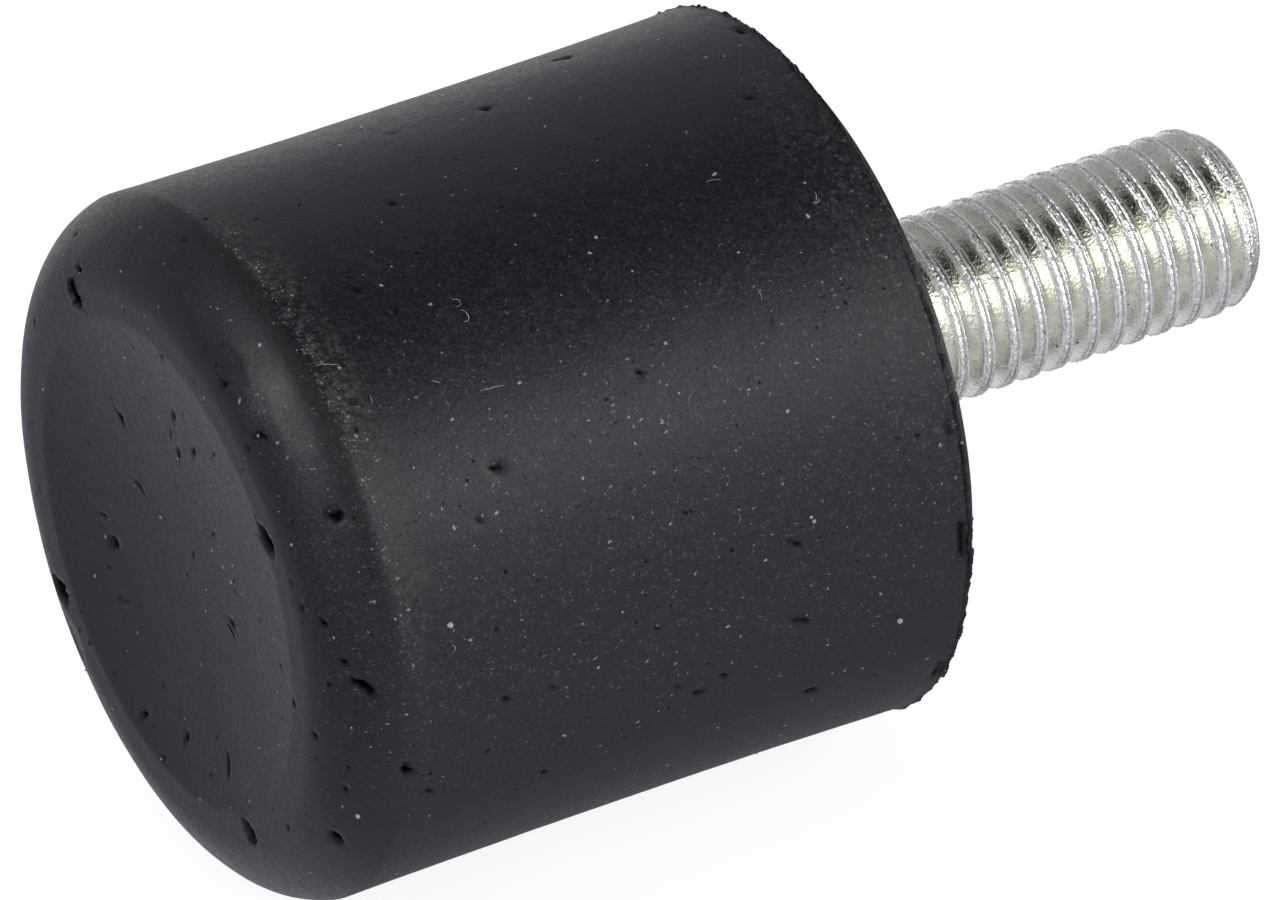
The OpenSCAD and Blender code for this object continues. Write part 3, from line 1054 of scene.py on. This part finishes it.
def paleFloorMaterial(glow):
    material = bpy.data.materials.new("paleFloor")
    material.use_nodes = True
    tree = material.node_tree
    tree.nodes.clear()
    end = put(tree, "ShaderNodeOutputMaterial")
    light = put(tree, "ShaderNodeEmission", {"Strength": glow})
    matt = put(tree, "ShaderNodeBsdfDiffuse", {"Color": (0.22, 0.22, 0.22, 1)})
    both = put(tree, "ShaderNodeAddShader")
    wire(tree, light.outputs[0], both.inputs[0])
    wire(tree, matt.outputs[0], both.inputs[1])
    clear = put(tree, "ShaderNodeBsdfTransparent")
    facing = put(tree, "ShaderNodeNewGeometry")
    choose = put(tree, "ShaderNodeMixShader")
    wire(tree, facing.outputs["Backfacing"], choose.inputs[0])
    wire(tree, both.outputs[0], choose.inputs[1])
    wire(tree, clear.outputs[0], choose.inputs[2])
    wire(tree, choose.outputs[0], end.inputs["Surface"])
    return material


def addFloor(name, centre, up, size, material):
    bpy.ops.mesh.primitive_plane_add(size=size, location=centre)
    floor = bpy.context.object
    floor.name = name
    turnTo(floor, Vector(up).to_track_quat("Z", "Y"))
    floor.data.materials.append(material)
    for kind in ("diffuse", "glossy", "transmission", "shadow"):
        setattr(floor, "visible_" + kind, False)


def addSoftbox(name, direction, width, height, turn, level, distance):
    data = bpy.data.lights.new(name, "AREA")
    data.shape = "RECTANGLE"
    data.size, data.size_y = width, height
    data.energy = level * math.pi * width * height
    lamp = linkObject(name, data)
    toLamp = Vector(direction).normalized()
    lamp.location = toLamp * distance + Vector((0, 0, -0.008))
    turnTo(lamp, (-toLamp).to_track_quat("-Z", "Y") @ Quaternion((0, 0, 1), math.radians(turn)))
    lamp.visible_camera = False


def facingShare(tree, direction, axis, low, high):
    # 1 where the view direction lies close to axis, 0 far from it
    axis = tuple(Vector(axis).normalized())
    return ramp(tree, vectorCalc(tree, "DOT_PRODUCT", direction, axis), low, high)


def buildRoom(s):
    world = bpy.data.worlds.new("plainRoom")
    bpy.context.scene.world = world
    world.use_nodes = True
    tree = world.node_tree
    tree.nodes.clear()
    end = put(tree, "ShaderNodeOutputWorld")
    back = put(tree, "ShaderNodeBackground")
    wire(tree, back.outputs[0], end.inputs["Surface"])
    direction = put(tree, "ShaderNodeTexCoord").outputs["Generated"]
    slope = vectorCalc(tree, "DOT_PRODUCT", direction, s["roomSlope"])
    plain = calc(tree, "ADD", slope, s["roomLevel"])
    dark = facingShare(tree, direction, s["darkSide"], 0.80, 0.955)
    dim = facingShare(tree, direction, s["dimSide"], 0.60, 0.97)
    behind = facingShare(tree, direction, s["backdropSide"], 0.895, 0.985)
    glow = facingShare(tree, direction, s["lowSide"], 0.90, 0.97)
    room = times(tree, plain, timesPlus(tree, dark, -s["darkShare"], 1.0),
                 timesPlus(tree, dim, -s["dimShare"], 1.0))
    room = timesPlus(tree, glow, s["lowGlow"], room)
    rays = put(tree, "ShaderNodeLightPath").outputs
    backdrop = times(tree, rays["Is Glossy Ray"], behind, s["backdropLevel"])
    white = largest(tree, rays["Is Camera Ray"], rays["Is Transmission Ray"], backdrop)
    # level = room + white * (1 - room)
    strength = timesPlus(tree, white, calc(tree, "SUBTRACT", 1.0, room), room)
    wire(tree, blend(tree, white, s["roomTint"], (1.0, 1.0, 1.0)), back.inputs["Color"])
    wire(tree, strength, back.inputs["Strength"])


buildRoom(studio)
paleFloor = paleFloorMaterial(studio["floorGlow"])
addFloor("standingFloor", (0, 0, cadBox[0].z - 0.00002), (0, 0, 1), 6.0, paleFloor)
lyingUp = Vector(studio["lyingUp"]).normalized()
addFloor("lyingFloor", -lyingUp * studio["lyingLevel"] * mm, lyingUp, 6.0, paleFloor)
for name, settings in studio["softboxes"].items():
    addSoftbox(name, *settings, studio["softboxDistance"])
bpy.context.scene.view_settings.view_transform = "Standard"
print("studio ready")
